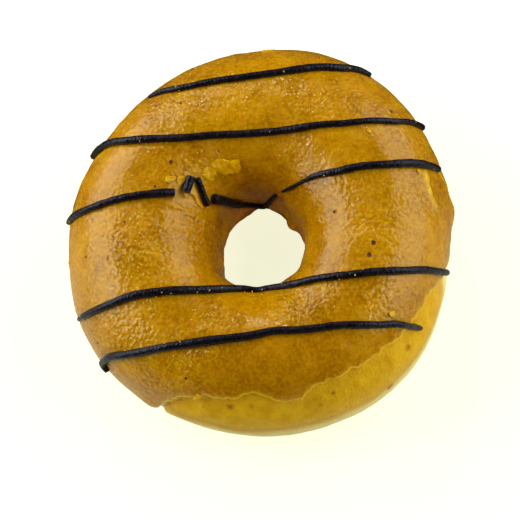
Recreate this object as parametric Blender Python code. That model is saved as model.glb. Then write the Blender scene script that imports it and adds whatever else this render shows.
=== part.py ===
"""A mini ring doughnut: a fried dough ring under caramel icing, with thick dark drizzle lines fused to the icing.

Metres, +Z up. The origin is on the surface that the ring lies on, under the middle of its hole.
An angle round the ring, theta, starts at +X. An angle round the ring's tube, phi, is 0 on the outer
side, 90 degrees on the top, 180 degrees in the hole and 270 degrees underneath.
"""

import math

import bmesh
import bpy
import numpy as np
from mathutils import Matrix, Vector

# The dough ring
OUTER_RADIUS = 0.0295
HOLE_RADIUS = 0.0079
HALF_HEIGHT = 0.0114
BASE_SUNK = 0.0009
OUTER_SQUARENESS = 2.15
HOLE_SQUARENESS = 2.5
WAIST_DROP = 0.0020

# From the middle of the round form to the middle of the real outline, which its swells push to one side
TO_MIDDLE = (0.00048, -0.00085, 0)

# How far the ring is from round: the number of swells, their height, and the angle of one crest in degrees
OUTLINE_SWELLS = (
    (1, 0.00028, 53),
    (2, 0.00056, 72),
    (3, 0.00053, -50),
    (4, 0.00023, 40),
    (7, 0.00011, 12),
)
HOLE_SWELLS = (
    (1, 0.00051, -94),
    (2, 0.00046, -85),
    (3, 0.00024, -15),
    (5, 0.00019, 8),
)
HEIGHT_SWELLS = ((2, 0.00020, 25), (3, 0.00015, 80))

# The icing's skin, which keeps a gap to the dough
ICING_GAP = 0.0003
ICING_THICKNESS = 0.00060
LIP_THICKNESS = 0.00034
LIP_WIDTH = 0.0011
ICING_SWELLS = ((5, 0.00007, 10), (8, 0.00005, 33), (11, 0.00004, 5))
ICING_RIPPLES = 3

# The icing's outer edge as an angle round the tube: low all round, but for a stretch where dough shows
EDGE_LOW = -14
EDGE_HIGH = 45
BARE_START = 255
BARE_END = 310
BARE_START_SLOPE = 19
BARE_END_SLOPE = 42
EDGE_SCALLOPS = ((7, 2.2, 40), (13, 1.6, 271), (23, 0.9, 274))

# The icing's edge in the hole, with drips
HOLE_EDGE = 200
HOLE_EDGE_SCALLOPS = ((3, 5.0, 50), (7, 3.0, 65))

# The drizzle: each line's plan points, the angles round the tube where it ends, and how thick it is there
DRIZZLE_RADIUS = 0.00056
DRIZZLE_SUNK = 0.00028
DRIZZLE_STEP = 0.0016
END_TURN = 24
CORNER_PASSES = 5
WORN_THIN = 0.55
DRIZZLE_LINES = (
    {
        "ends": (4, 8),
        "plan": (
            (-0.0171, 0.0220),
            (-0.0102, 0.0222),
            (0.0010, 0.0233),
            (0.0090, 0.0242),
            (0.0160, 0.0254),
        ),
    },
    {
        "ends": (6, 16),
        "plan": (
            (-0.0247, 0.0141),
            (-0.0179, 0.0136),
            (-0.0021, 0.0139),
            (0.0129, 0.0146),
            (0.0232, 0.0161),
        ),
    },
    {
        "ends": (12, None),
        "plan": (
            (-0.0282, 0.0030),
            (-0.0226, 0.0033),
            (-0.0157, 0.0043),
            (-0.0117, 0.0048),
        ),
    },
    {
        "ends": (None, 18),
        "plan": (
            (-0.0066, 0.0053),
            (-0.0036, 0.0061),
            (-0.0009, 0.0071),
            (0.0012, 0.0070),
            (0.0035, 0.0066),
            (0.0080, 0.0067),
            (0.0128, 0.0070),
            (0.0206, 0.0079),
            (0.0267, 0.0090),
        ),
    },
    {
        "ends": (4, 2),
        "plan": (
            (-0.0262, -0.0127),
            (-0.0195, -0.0123),
            (-0.0098, -0.0109),
            (-0.0025, -0.0097),
            (0.0012, -0.0094),
            (0.0046, -0.0093),
            (0.0126, -0.0096),
            (0.0203, -0.0090),
            (0.0267, -0.0076),
        ),
    },
    {
        "ends": (-8, 14),
        "plan": (
            (-0.0230, -0.0193),
            (-0.0176, -0.0198),
            (-0.0097, -0.0194),
            (0.0010, -0.0182),
            (0.0127, -0.0172),
            (0.0228, -0.0164),
        ),
    },
)

# Two bits of the broken line, each from one end to the other, lying on the icing near the break
LOOSE_BITS = (
    {"plan": ((-0.0092, 0.0077), (-0.0104, 0.0058)), "lift": (0.0001, 0.0000)},
    {"plan": ((-0.0083, 0.0080), (-0.0073, 0.0040)), "lift": (0.0000, 0.0001)},
)

# Facets
RING_STEPS = 80
TUBE_STEPS = 24
ICING_STEPS = 14
DRIZZLE_BEVEL_RESOLUTION = 2
SOLVE_STEPS = 181
NORMAL_STEP = 1e-3

# Colours in linear light, roughness
DOUGH_COLOUR = (0.55, 0.34, 0.06)
DOUGH_ROUGHNESS = 0.6
ICING_COLOUR = (0.45, 0.21, 0.012)
ICING_ROUGHNESS = 0.3


def clear_scene():
    for thing in list(bpy.data.objects):
        bpy.data.objects.remove(thing)


def swell(theta, swells):
    """The sum of a table's cosines at an angle or an array of angles."""
    return sum(height * np.cos(count * (theta - math.radians(crest))) for count, height, crest in swells)


def ring_point(theta, phi):
    """A point on the dough's skin, or an array of them."""
    outer = OUTER_RADIUS + swell(theta, OUTLINE_SWELLS)
    hole = HOLE_RADIUS + swell(theta, HOLE_SWELLS)
    half_width = (outer - hole) / 2
    half_height = HALF_HEIGHT + swell(theta, HEIGHT_SWELLS)
    inwards = 0.5 - 0.5 * np.cos(phi)
    squareness = OUTER_SQUARENESS + (HOLE_SQUARENESS - OUTER_SQUARENESS) * inwards
    across = np.abs(np.cos(phi) / half_width) ** squareness
    upright = np.abs(np.sin(phi) / half_height) ** squareness
    reach = (across + upright) ** (-1 / squareness)
    radius = (outer + hole) / 2 + reach * np.cos(phi)
    waist = WAIST_DROP * np.clip(-np.cos(phi), 0, 1) ** 2
    height = HALF_HEIGHT - BASE_SUNK + reach * np.sin(phi) - waist
    return np.stack([radius * np.cos(theta), radius * np.sin(theta), np.maximum(height, 0)], axis=-1)


def skin_normal(theta, phi):
    """The dough's outward normal."""
    along = ring_point(theta + NORMAL_STEP, phi) - ring_point(theta - NORMAL_STEP, phi)
    around = ring_point(theta, phi + NORMAL_STEP) - ring_point(theta, phi - NORMAL_STEP)
    normal = np.cross(along, around)
    return normal / np.linalg.norm(normal, axis=-1, keepdims=True)


def lifted_point(theta, phi, lift):
    """A point that far above the dough's skin."""
    return ring_point(theta, phi) + skin_normal(theta, phi) * np.asarray(lift)[..., None]


def outer_edge(theta):
    """The tube angle, in degrees, where the icing ends on the outer side."""
    degrees = np.degrees(theta) % 360
    before = np.clip((BARE_START - degrees) / BARE_START_SLOPE, 0, 1)
    after = np.clip((degrees - BARE_END) / BARE_END_SLOPE, 0, 1)
    fall = np.clip(before + after, 0, 1) ** 2
    return EDGE_HIGH - (EDGE_HIGH - EDGE_LOW) * fall + swell(theta, EDGE_SCALLOPS)


def hole_edge(theta):
    """The tube angle, in degrees, where the icing ends in the hole."""
    return HOLE_EDGE + swell(theta, HOLE_EDGE_SCALLOPS)


def icing_lift(theta, phi):
    """The height of the icing's outer face above the dough's skin: full in its body, thin at its lips."""
    from_outer = phi - np.radians(outer_edge(theta))
    from_hole = np.radians(hole_edge(theta)) - phi
    inside = HALF_HEIGHT * np.maximum(np.minimum(from_outer, from_hole), 0)
    body = ICING_THICKNESS + swell(theta, ICING_SWELLS) * np.sin(ICING_RIPPLES * phi)
    return ICING_GAP + body + (LIP_THICKNESS - body) * np.exp(-inside / LIP_WIDTH)


def surface_angle(x, y):
    """The angles theta and phi where the ring's upper skin lies at a place in plan."""
    theta = math.atan2(y, x)
    phi = np.linspace(0, math.pi, SOLVE_STEPS)
    skin = lifted_point(np.full_like(phi, theta), phi, ICING_GAP + ICING_THICKNESS)
    radius = np.hypot(skin[:, 0], skin[:, 1])
    return theta, float(np.interp(-math.hypot(x, y), -radius, phi))


def smooth_path(points, step):
    """Points every step or so along a Catmull-Rom curve through the given ones."""
    given = [Vector(p) for p in points]
    given = [2 * given[0] - given[1], *given, 2 * given[-1] - given[-2]]
    path = []
    for a, b, c, d in zip(given, given[1:], given[2:], given[3:]):
        count = max(1, round((c - b).length / step))
        for k in range(count):
            t = k / count
            path.append(0.5 * (2 * b + (c - a) * t + (2 * a - 5 * b + 4 * c - d) * t**2
                               + (3 * b - 3 * c + d - a) * t**3))
    path.append(given[-2])
    return path


def drizzle_angles(line):
    """The angles along one drizzle line, from its left end to its right end, down the sides included."""
    plan = smooth_path([(x, y, 0) for x, y in line["plan"]], DRIZZLE_STEP)
    angles = [surface_angle(p.x, p.y) for p in plan]
    turn = math.radians(END_TURN)
    left, right = line["ends"]
    if left is not None:
        while angles[0][1] < turn:
            angles.pop(0)
        angles = side_run(angles[0], left)[::-1] + angles
    if right is not None:
        while angles[-1][1] < turn:
            angles.pop()
        angles = angles + side_run(angles[-1], right)
    return eased(angles)


def side_run(start, end_degrees):
    """The angles down the ring's side from a place on it, the furthest last."""
    theta, phi = start
    end = math.radians(end_degrees)
    count = max(1, round(abs(phi - end) * HALF_HEIGHT / DRIZZLE_STEP))
    return [(theta, phi + (end - phi) * (k + 1) / count) for k in range(count)]


def eased(angles):
    """The angles with the corners of their path rounded off."""
    path = np.array(angles)
    for _ in range(CORNER_PASSES):
        path[1:-1] = path[1:-1] / 2 + (path[:-2] + path[2:]) / 4
    return path


def drizzle_thickness(theta, phi):
    """How thick a line is there: stretched thin where it clings to the wall of the hole's far side."""
    deep = np.clip((math.degrees(phi) - 118) / 20, 0, 1)
    far_right = np.clip((100 - abs(math.degrees(theta) - 55) * 1.6) / 60, 0, 1)
    return 1 - (1 - WORN_THIN) * deep * far_right


def strand(name, points, thicknesses):
    """A round strand through the points as a mesh object, made from a bevelled curve with filled caps."""
    curve = bpy.data.curves.new(name, "CURVE")
    curve.dimensions = "3D"
    curve.bevel_depth = DRIZZLE_RADIUS
    curve.bevel_resolution = DRIZZLE_BEVEL_RESOLUTION
    curve.use_fill_caps = True
    spline = curve.splines.new("POLY")
    spline.points.add(len(points) - 1)
    for target, point, thickness in zip(spline.points, points, thicknesses):
        target.co = (*point, 1)
        target.radius = thickness
    return mesh_of(name, bpy.data.objects.new(name, curve))


def mesh_of(name, source):
    """The evaluated shape of a curve as a mesh object, with the points of its caps welded."""
    scene = bpy.context.scene
    scene.collection.objects.link(source)
    graph = bpy.context.evaluated_depsgraph_get()
    mesh = bpy.data.meshes.new_from_object(source.evaluated_get(graph))
    bpy.data.objects.remove(source)
    work = bmesh.new()
    work.from_mesh(mesh)
    bmesh.ops.remove_doubles(work, verts=work.verts, dist=1e-6)
    bmesh.ops.recalc_face_normals(work, faces=work.faces)
    work.to_mesh(mesh)
    work.free()
    made = bpy.data.objects.new(name, mesh)
    return made


def drizzle_strand(number, line):
    angles = drizzle_angles(line)
    theta, phi = angles.T
    lift = ICING_GAP + ICING_THICKNESS + DRIZZLE_RADIUS - DRIZZLE_SUNK
    points = lifted_point(theta, phi, np.full_like(phi, lift))
    return strand(f"strand_{number}", points, [drizzle_thickness(t, p) for t, p in angles])


def loose_bit(number, bit):
    points = []
    for (x, y), lift in zip(bit["plan"], bit["lift"]):
        theta, phi = surface_angle(x, y)
        height = ICING_GAP + ICING_THICKNESS + DRIZZLE_RADIUS - DRIZZLE_SUNK + lift
        points.append(lifted_point(np.array(theta), np.array(phi), height))
    return strand(f"bit_{number}", points, [1.05, 1.05])


def grid_faces(rows, columns, offset, closed, flipped):
    """The quads between rows of points round the ring, where a row's last point meets its first."""
    faces = []
    for row in range(rows if closed else rows - 1):
        for column in range(columns):
            a = offset + row * columns + column
            b = offset + row * columns + (column + 1) % columns
            c = offset + (row + 1) % rows * columns + (column + 1) % columns
            d = offset + (row + 1) % rows * columns + column
            faces.append((a, d, c, b) if flipped else (a, b, c, d))
    return faces


def mesh_object(name, points, faces, colour, roughness):
    mesh = bpy.data.meshes.new(name)
    mesh.from_pydata([tuple(p) for p in points], [], faces)
    split_quads(mesh)
    mesh.shade_smooth()
    mesh.materials.append(plain_material(name, colour, roughness))
    made = bpy.data.objects.new(name, mesh)
    bpy.context.scene.collection.objects.link(made)
    return made


def split_quads(mesh):
    """Cuts each quad along its shorter diagonal, which keeps a steep edge free of creases."""
    work = bmesh.new()
    work.from_mesh(mesh)
    bmesh.ops.triangulate(work, faces=work.faces, quad_method="SHORT_EDGE")
    work.to_mesh(mesh)
    work.free()


def plain_material(name, colour, roughness):
    material = bpy.data.materials.new(name)
    material.use_nodes = True
    shader = material.node_tree.nodes["Principled BSDF"]
    shader.inputs["Base Color"].default_value = (*colour, 1)
    shader.inputs["Roughness"].default_value = roughness
    return material


def make_dough():
    theta = np.linspace(0, 2 * math.pi, RING_STEPS, endpoint=False)[None, :]
    phi = np.linspace(0, 2 * math.pi, TUBE_STEPS, endpoint=False)[:, None]
    theta, phi = np.broadcast_arrays(theta, phi)
    points = ring_point(theta, phi).reshape(-1, 3)
    faces = grid_faces(TUBE_STEPS, RING_STEPS, 0, True, False)
    return mesh_object("dough", points, faces, DOUGH_COLOUR, DOUGH_ROUGHNESS)


def make_icing_skin():
    """The icing without its drizzle: an outer and an inner face that meet at its two edges."""
    theta = np.linspace(0, 2 * math.pi, RING_STEPS, endpoint=False)[None, :]
    share = np.linspace(0, 1, ICING_STEPS + 1)[:, None]
    theta, share = np.broadcast_arrays(theta, share)
    start = np.radians(outer_edge(theta))
    end = np.radians(hole_edge(theta))
    phi = start + (end - start) * share
    outside = lifted_point(theta, phi, icing_lift(theta, phi))
    inside = lifted_point(theta, phi, np.full_like(phi, ICING_GAP))
    points = np.concatenate([outside, inside[::-1]]).reshape(-1, 3)
    rows = 2 * (ICING_STEPS + 1)
    faces = grid_faces(rows, RING_STEPS, 0, True, False)
    return mesh_object("icing", points, faces, ICING_COLOUR, ICING_ROUGHNESS)


def fuse(target, pieces):
    """Joins the pieces to the target by one Boolean union, applies it, and removes them."""
    joined = bpy.data.collections.new("joined")
    bpy.context.scene.collection.children.link(joined)
    for piece in pieces:
        joined.objects.link(piece)
    union = target.modifiers.new("union", "BOOLEAN")
    union.operation = "UNION"
    union.operand_type = "COLLECTION"
    union.collection = joined
    union.solver = "EXACT"
    bpy.context.view_layer.update()
    graph = bpy.context.evaluated_depsgraph_get()
    mesh = bpy.data.meshes.new_from_object(target.evaluated_get(graph))
    target.modifiers.clear()
    target.data = mesh
    for piece in pieces:
        bpy.data.objects.remove(piece)
    bpy.data.collections.remove(joined)


def main():
    clear_scene()
    dough = make_dough()
    icing = make_icing_skin()
    strands = [drizzle_strand(k, line) for k, line in enumerate(DRIZZLE_LINES, 1)]
    bits = [loose_bit(k, bit) for k, bit in enumerate(LOOSE_BITS, 1)]
    fuse(icing, strands + bits)
    for body in (dough, icing):
        body.data.transform(Matrix.Translation(TO_MIDDLE))


main()
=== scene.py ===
"""The looks of a small iced ring doughnut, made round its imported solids.

Lengths are in metres. An angle round the ring, theta, starts at +X. An angle round the ring's tube, phi, is
0 on the outer side, 90 degrees on the top, 180 in the hole and 270 underneath.
"""

import math

import bmesh
import bpy
import numpy as np
from mathutils import Matrix, Vector


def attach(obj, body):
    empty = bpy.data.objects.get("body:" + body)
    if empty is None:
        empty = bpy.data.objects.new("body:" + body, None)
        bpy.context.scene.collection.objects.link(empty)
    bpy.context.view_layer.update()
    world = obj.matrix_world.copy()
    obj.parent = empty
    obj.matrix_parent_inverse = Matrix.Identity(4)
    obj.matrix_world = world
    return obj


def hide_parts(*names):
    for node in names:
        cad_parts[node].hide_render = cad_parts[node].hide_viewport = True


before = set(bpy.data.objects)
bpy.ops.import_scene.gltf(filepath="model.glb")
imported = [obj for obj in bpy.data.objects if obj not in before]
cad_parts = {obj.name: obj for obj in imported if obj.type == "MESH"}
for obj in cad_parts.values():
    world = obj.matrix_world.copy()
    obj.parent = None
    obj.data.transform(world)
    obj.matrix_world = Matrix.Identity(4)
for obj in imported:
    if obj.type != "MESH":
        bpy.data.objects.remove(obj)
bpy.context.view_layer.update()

# The dough ring, as its solid has it
OUTER_RADIUS = 0.0295
HOLE_RADIUS = 0.0079
HALF_HEIGHT = 0.0114
BASE_SUNK = 0.0009
OUTER_SQUARENESS = 2.15
HOLE_SQUARENESS = 2.5
WAIST_DROP = 0.0020
RING_SIZES = {
    "Outer radius": OUTER_RADIUS,
    "Hole radius": HOLE_RADIUS,
    "Half height": HALF_HEIGHT,
    "Base sunk": BASE_SUNK,
    "Waist drop": WAIST_DROP,
}
TO_MIDDLE = (0.00048, -0.00085, 0)

# How far the ring is from round: the number of swells, their height, and the angle of one crest in degrees
OUTLINE_SWELLS = ((1, 0.00028, 53), (2, 0.00056, 72), (3, 0.00053, -50), (4, 0.00023, 40), (7, 0.00011, 12))
HOLE_SWELLS = ((1, 0.00051, -94), (2, 0.00046, -85), (3, 0.00024, -15), (5, 0.00019, 8))
HEIGHT_SWELLS = ((2, 0.00020, 25), (3, 0.00015, 80))
# How far the dough bulges where it is bare, and how wide the darkened band beside the icing's edge is: partly
# an oil mark, partly painted shadow under the lip
BARE_SWELLING = 0.00088
STAIN_AND_SHADOW_WIDTH = 0.0006
# The bulge over the tube, in degrees: its start below the icing's edge, its foot, the lowest edge that bares
# the dough, and how gently each sets in
BARE_FROM, BARE_FOOT, BARE_EDGE = 4, -75, -18
BARE_SPREAD, BARE_FOOT_SPREAD = 20, 40
# The dough's relief: the size and the height of its lumps, its crumb and its grain
DOUGH_LUMPS = (0.006, 0.00012)
DOUGH_CRUMB = (0.0018, 0.00006)
DOUGH_GRAIN = (0.0006, 0.00002)
DOUGH_STEPS_ROUND = 420
DOUGH_STEPS_OVER = 150

# The icing's skin: its height above the dough, its rounded lip, and how far its inner face sinks in
ICING_HEIGHT = 0.0009
ICING_SWELLS = ((5, 0.00007, 10), (8, 0.00005, 33), (11, 0.00004, 5))
ICING_RIPPLES = 3
LIP_HEIGHT = 0.00072
LIP_ROUND = 0.00022
LIP_WIDTH = 0.0006
LIP_SUNK = 0.00012
LIP_SHINE = 0.00044
INNER_SUNK = 0.00030
# Its small waves: their height, and the size and the share of that height of each layer
ICING_WAVES = 0.00017
WAVE_LAYERS = ((0.0045, 1), (0.0016, 0.45), (0.0009, 0.3))
ICING_STEPS_ROUND = 420
ICING_STEPS_OVER = 168
ICING_STEPS_UNDER = 18
EDGE_CROWDING = 0.8

# The icing's outer edge: theta and phi in degrees, low all round, but where dough shows
ICING_EDGE = (
    (0, -12), (14, -16), (26, -9), (40, -15), (58, -8), (75, -17), (90, -12), (104, -7), (121, -16),
    (140, -10), (152, -17), (170, -9), (186, -14), (203, -7), (215, -14), (225, -12), (234, -10), (238, -4),
    (242, 20), (246, 33), (250, 38), (254, 42), (264, 45.5), (271, 50), (274, 46), (277.5, 42), (281, 40),
    (285, 43), (290, 47), (301, 48), (309, 45), (316, 41.5), (323, 39), (331, 35), (334.5, 33), (339.5, 28),
    (344, 18), (349, 7), (353, -5), (360, -12),
)
EDGE_SCALLOPS = ((17, 0.7, 271), (31, 0.6, 12), (53, 0.6, 30), (89, 0.5, 7), (131, 0.4, 3))
HOLE_EDGE = 200
HOLE_EDGE_SCALLOPS = ((3, 5.0, 50), (7, 3.0, 65), (17, 2.0, 20), (31, 1.2, 5))
# Where the icing runs further down in the hole: theta, reach and drop in degrees
HOLE_DRIPS = ((132, 20, 15), (112, 9, 5))

# Lumps and hollows of the icing: theta and phi in degrees, reach, height
LUMPS = (
    (122, 84, 0.002, 0.00022), (131, 79, 0.0024, -0.00012), (236, -4, 0.0022, 0.00056),
    (230, -8, 0.0016, 0.00008), (175, 23, 0.0007, 0.0002), (187, 22, 0.0008, 0.00028),
    (190, 24, 0.0007, 0.00022), (72, 176, 0.0022, 0.00085), (122, 182, 0.0024, 0.0005),
    (140, 186, 0.002, 0.0004), (312, 160, 0.0026, -0.00035), (311, 170, 0.0016, -0.0003),
    (160, 178, 0.0018, 0.00075), (205, 176, 0.0018, 0.00045), (36, 176, 0.0013, 0.0009),
    (27, 171, 0.0009, 0.0006), (48, 168, 0.0008, -0.0003), (12, 178, 0.0012, 0.00025),
    (128, 135, 0.0014, -0.00045), (155, 122, 0.0013, -0.00028), (8, 5, 0.0021, 0.00075),
    (15, 14, 0.002, 0.0003), (11.5, 73, 0.001, 0.00022), (348.5, 69, 0.001, 0.00022),
    (345, 74, 0.0007, 0.00016), (1, 51, 0.0007, 0.0002), (6, 66, 0.0008, 0.00016), (3, 60, 0.0005, 0.00014),
    (8, 58, 0.0006, 0.00014), (356, 62, 0.0006, 0.00014), (10, 64, 0.0004, -0.0001),
    (0, 68, 0.0005, -0.00012), (4, 56, 0.0004, -0.0001), (24, 4, 0.0022, 0.00012), (48, 6, 0.002, 0.00016),
    (66, 10, 0.003, 0.00014), (88, 12, 0.0024, -0.00012), (101, 8, 0.0022, 0.00014),
    (133, 10, 0.0026, -0.0001), (146, 12, 0.0018, 0.00016), (160, 8, 0.0018, 0.00012),
    (199, 8, 0.002, 0.00014), (212, 6, 0.0016, -0.00012), (247, 62, 0.0022, 0.0001),
    (239, 80, 0.001, 0.00014), (256, 76, 0.0011, 0.00014), (300, 70, 0.0026, 0.0001),
)
# Folds of the icing: theta and phi of both ends in degrees, reach, height
FOLDS = (
    (166, 108, 170, 150, 0.0007, 0.00044), (176, 112, 180, 166, 0.0006, 0.00042),
    (186, 108, 190, 160, 0.0007, 0.00042), (158, 118, 160, 152, 0.0006, 0.00032),
    (196, 116, 200, 170, 0.0006, 0.00036), (171, 140, 172, 182, 0.0006, 0.0003),
    (188, 150, 192, 184, 0.0006, 0.0003), (205, 128, 212, 172, 0.0007, 0.0002),
    (10, 118, 4, 158, 0.001, 0.00018), (352, 114, 350, 150, 0.0009, 0.00016),
    (20, 120, 24, 160, 0.0008, 0.00016), (96, 130, 92, 165, 0.0009, 0.00016),
    (16.8, 42.5, 12, 45.2, 0.0005, 0.0003), (12, 45.2, 8.8, 44.8, 0.0005, 0.0003),
    (8.8, 44.8, 4.5, 38, 0.0006, 0.00026), (14, 20, 3, 22, 0.0007, 0.00016),
    (10, 34, 354, 22, 0.0008, 0.00014), (250, 94, 244, 88, 0.0008, 0.0002),
    (257, 82, 251, 76, 0.0008, 0.00018),
)
FOLD_BEADS = 9
# Thin raised edges with a painted highlight where they catch the light, as on the lip: theta and phi of both
# ends in degrees, reach, share
BRIGHT_EDGES = (
    (17.2, 44, 12, 45.6, 0.00035, 1.1), (12, 45.6, 8.6, 45, 0.00035, 1.1), (8.6, 45, 4.2, 38, 0.0003, 0.7),
    (18, 22, 13, 14, 0.00035, 0.8), (13, 14, 8, 6, 0.00035, 0.8),
)

# Stretches where the icing's skin is rough as orange peel: theta and phi in degrees, reach, how rough
ROUGH_STRETCHES = (
    (124, 77, 0.0045, 0.9), (180, 70, 0.005, 0.5), (195, 66, 0.006, 0.6), (196, 98, 0.006, 1),
    (219, 70, 0.006, 1), (244, 63, 0.004, 1), (232, 46, 0.005, 0.8), (254, 84, 0.003, 0.8),
    (250, 98, 0.0028, 0.9), (295, 108, 0.0034, 1), (311, 106, 0.003, 0.8), (326, 72, 0.0042, 0.7),
    (348, 76, 0.0042, 0.8), (357, 84, 0.0045, 0.8), (6, 62, 0.005, 1), (15, 103, 0.0032, 0.7),
    (142, 112, 0.0035, 0.7), (100, 84, 0.006, 0.6), (61, 80, 0.007, 0.5), (33, 30, 0.006, 0.5),
    (80, 20, 0.006, 0.5), (140, 20, 0.007, 0.5), (172, 128, 0.005, 0.6), (192, 132, 0.005, 0.6),
    (12, 130, 0.004, 0.4),
)
PLAIN_ROUGHNESS = 0.28
# Stretches where the icing is darker, partly its own deeper tone and partly painted shade on the front: theta
# and phi in degrees, reach, how much darker
DARKER_TONE_AND_SHADE_STRETCHES = (
    (264, 66, 0.0072, 1), (284, 62, 0.006, 0.6), (276, 108, 0.005, 0.45), (12, 84, 0.006, 0.45),
    (95, 50, 0.006, 0.5), (70, 46, 0.005, 0.4),
)

# Burst bubbles in the icing: theta and phi in degrees, radius
PINHOLES = (
    (142.5, 101, 0.00036), (5, 117, 0.00028), (340, 88, 0.0004), (346, 87, 0.00038), (190, 52, 0.00022),
    (247, 54, 0.00024), (40, 46, 0.00024), (120, 72, 0.0002), (159, 100, 0.00022), (180, 84, 0.0002),
    (115, 118, 0.0002), (186, 76, 0.00016), (70, 40, 0.0002), (215, 30, 0.00022), (310, 20, 0.0002),
    (95, 15, 0.00018),
)
# How far a bubble's middle lies above the skin, as a share of its radius
PINHOLE_RISE = 0.1

# The drizzle: each strand's way over the ring, as theta and phi in degrees and how thick it is there
DRIZZLE_RADIUS = 0.00056
DRIZZLE_SUNK = 0.00022
DRIZZLE_STEP = 0.0004
DRIZZLE_SIDES = 20
SMOOTHING_PASSES = 6
# How lines and bits are swept: the spacing of their rings, the rounding of their ends in radii, their wobble
LINE_SWEEP = (0.00018, 0.35, 0.16)
BIT_SWEEP = (0.00016, 0.15, 0.10)
DRIZZLE_WAVER = 0.0022
DRIZZLE_RELIEF = ((0.0014, 0.00004), (0.0005, 0.00003), (0.0003, 0.000008))
# Over how many places a strand evens out the skin it rests on, and the places along a loose bit
RESTING_REACH = 9
LOOSE_BIT_STEPS = 9
DRIZZLE_STRANDS = (
    (
        (127.2, 40.8, 0.55), (122.5, 50.5, 0.8), (114.2, 63, 0.9), (95.2, 71.2, 1),
        (78, 66.5, 1), (62.8, 48.8, 1.1), (60, 40, 1.05), (57.5, 31, 0.95), (55, 24, 0.8),
    ),
    (
        (152.4, 24, 0.95), (150.4, 34, 1.05), (148.5, 43.8, 1.05), (142.8, 70, 1.1),
        (126.5, 97.8, 1.05), (99, 112.2, 1.1), (70.2, 109.5, 1.05), (48.5, 87, 0.95),
        (37, 56, 0.85), (35, 41, 0.85), (33.9, 28.2, 0.9), (33.4, 18, 0.95),
    ),
    (
        (174.2, 21.2, 0.75), (174, 36.5, 0.95), (173.5, 51.5, 1), (171.5, 67.8, 1),
        (164.5, 98.3, 1.15), (158.2, 113.8, 1.2),
    ),
    (
        (142.8, 138.2, 1.4), (131.8, 149.2, 1.32), (121.8, 159, 1.22), (115, 165, 0.95),
        (109, 170, 0.76), (97.5, 178.5, 0.75), (88.8, 179.5, 0.8), (77.8, 169, 0.72),
        (65.5, 155.3, 0.55),
    ),
    (
        (59.5, 150.6, 0.34), (50.5, 141.8, 0.58), (44.5, 134, 0.5), (41, 128.8, 0.52),
        (37.5, 122, 0.85), (29, 107, 1), (24.5, 89.8, 1.1), (21, 72.8, 1.1),
        (19.5, 54.2, 1.15), (18.8, 38.8, 1.05), (18.6, 25, 0.9),
    ),
    (
        (204.4, 19, 0.65), (206.5, 36.2, 0.95), (209.5, 57, 1.05), (215, 85.2, 1.2),
        (228, 110.2, 1.15), (255.5, 133.2, 1.05), (273, 134.5, 0.85), (280.8, 138, 0.9),
        (312.5, 118.2, 1.05), (330.5, 88.2, 1.1), (340.5, 56, 1.1), (343.8, 39.2, 1),
        (347.4, 12, 0.9),
    ),
    (
        (221, 8, 0.9), (218.6, 12, 1), (219.8, 24.5, 1.05), (223, 41, 1.15),
        (235.3, 67.5, 1.15), (253, 85, 1.2), (273.2, 93.5, 1.1), (285.8, 93.2, 1.05),
        (306.2, 80, 1.05), (320, 56, 1), (324, 42.8, 0.95), (327.4, 23, 0.8),
        (328.3, 14, 0.62),
    ),
)
# Two bits of the broken strand: theta and phi of each end, heights above where a strand lies, thickness
LOOSE_BITS = (
    (((141.4, 117.0), (154.8, 119.7)), (0.0003, 0.0001), 1.20),
    (((139.3, 120.8), (153.0, 137.8)), (0.0001, 0.0003), 0.88),
)

# Torn flakes of icing: the rise at the end where theta is least, and the outline's theta and phi in degrees
FLAKES = (
    (
        0.0003,
        (
            (125, 122.5), (120, 120.8), (114.5, 123.4), (109.2, 126.8), (102.5, 127.6), (103.3, 133.2),
            (106.5, 136.4), (114.2, 134.8), (120.5, 132.6), (123.5, 128.5),
        ),
    ),
    (
        0.00012,
        (
            (136, 122), (133.4, 122.8), (131, 120.6), (127.2, 121.4), (124.2, 125.4), (124, 129.6),
            (127, 129), (128.8, 131.8), (133.2, 130), (134.4, 126),
        ),
    ),
    (
        0.0001,
        ((154.4, 105), (151.5, 103.4), (150, 104.8), (147.8, 109.8), (150.4, 110.2), (153.7, 107.3)),
    ),
    (
        0.00016,
        (
            (150, 111.2), (147.5, 110.8), (144, 113.8), (144.6, 116.6), (150.2, 115.4), (153.4, 115.4),
            (151, 113),
        ),
    ),
    (
        0.00016,
        (
            (152.6, 121), (146.4, 121.4), (147.4, 124.6), (149.4, 127), (152.4, 130.6), (156, 135.4),
            (158.9, 134.2), (156.9, 130.3), (152.9, 127), (150.6, 124.6),
        ),
    ),
    (0.00008, ((142.4, 128), (140.6, 128.6), (142.8, 133.6), (145, 134.6), (144.4, 131))),
    (0.0005, ((250.2, 35.6), (250.6, 40.4), (251.4, 45), (252.9, 43.6), (252.8, 39.6), (252.1, 35.8))),
    (0.00014, ((322.6, 57.3), (323.4, 60), (325.2, 56.6), (324, 55), (323, 55.6))),
    (0.00012, ((17.8, 51.8), (17.3, 48.4), (16.2, 50.8), (16.7, 53))),
    (0.00012, ((288, 46.8), (289.4, 48), (290.2, 46), (288.8, 45.2))),
    (0.0001, ((111, 60.6), (112.6, 61.6), (113.8, 60), (112.2, 59))),
    (0.00008, ((84, 34), (86.4, 36.6), (88.4, 33.6), (86.2, 31.8))),
    (0.00008, ((36, 72), (37.6, 73.4), (38.4, 71.4), (36.8, 70.6))),
)
FLAKE_RIM_STEPS = 40
FLAKE_RINGS = 7
FLAKE_THICKNESS = 0.00014
FLAKE_RISE = 0.00004
# A flake's streaks and facets: their height, and their length along the ring and over it
FLAKE_STREAKS = (0.00003, 0.00022, 0.0006)
FLAKE_FACETS = (0.00006, 0.00040, 0.00045)
FLAKE_CRUMPLE = 0.00001
FLAKE_RAGGED = 0.035
FLAKE_SEED = 17

# Fine sugar grains on the icing: how many per square metre where they lie thickest, and their size
GRAIN_DENSITY = 650000
GRAIN_SIZE = 0.00011
GRAIN_SEED = 5
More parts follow.
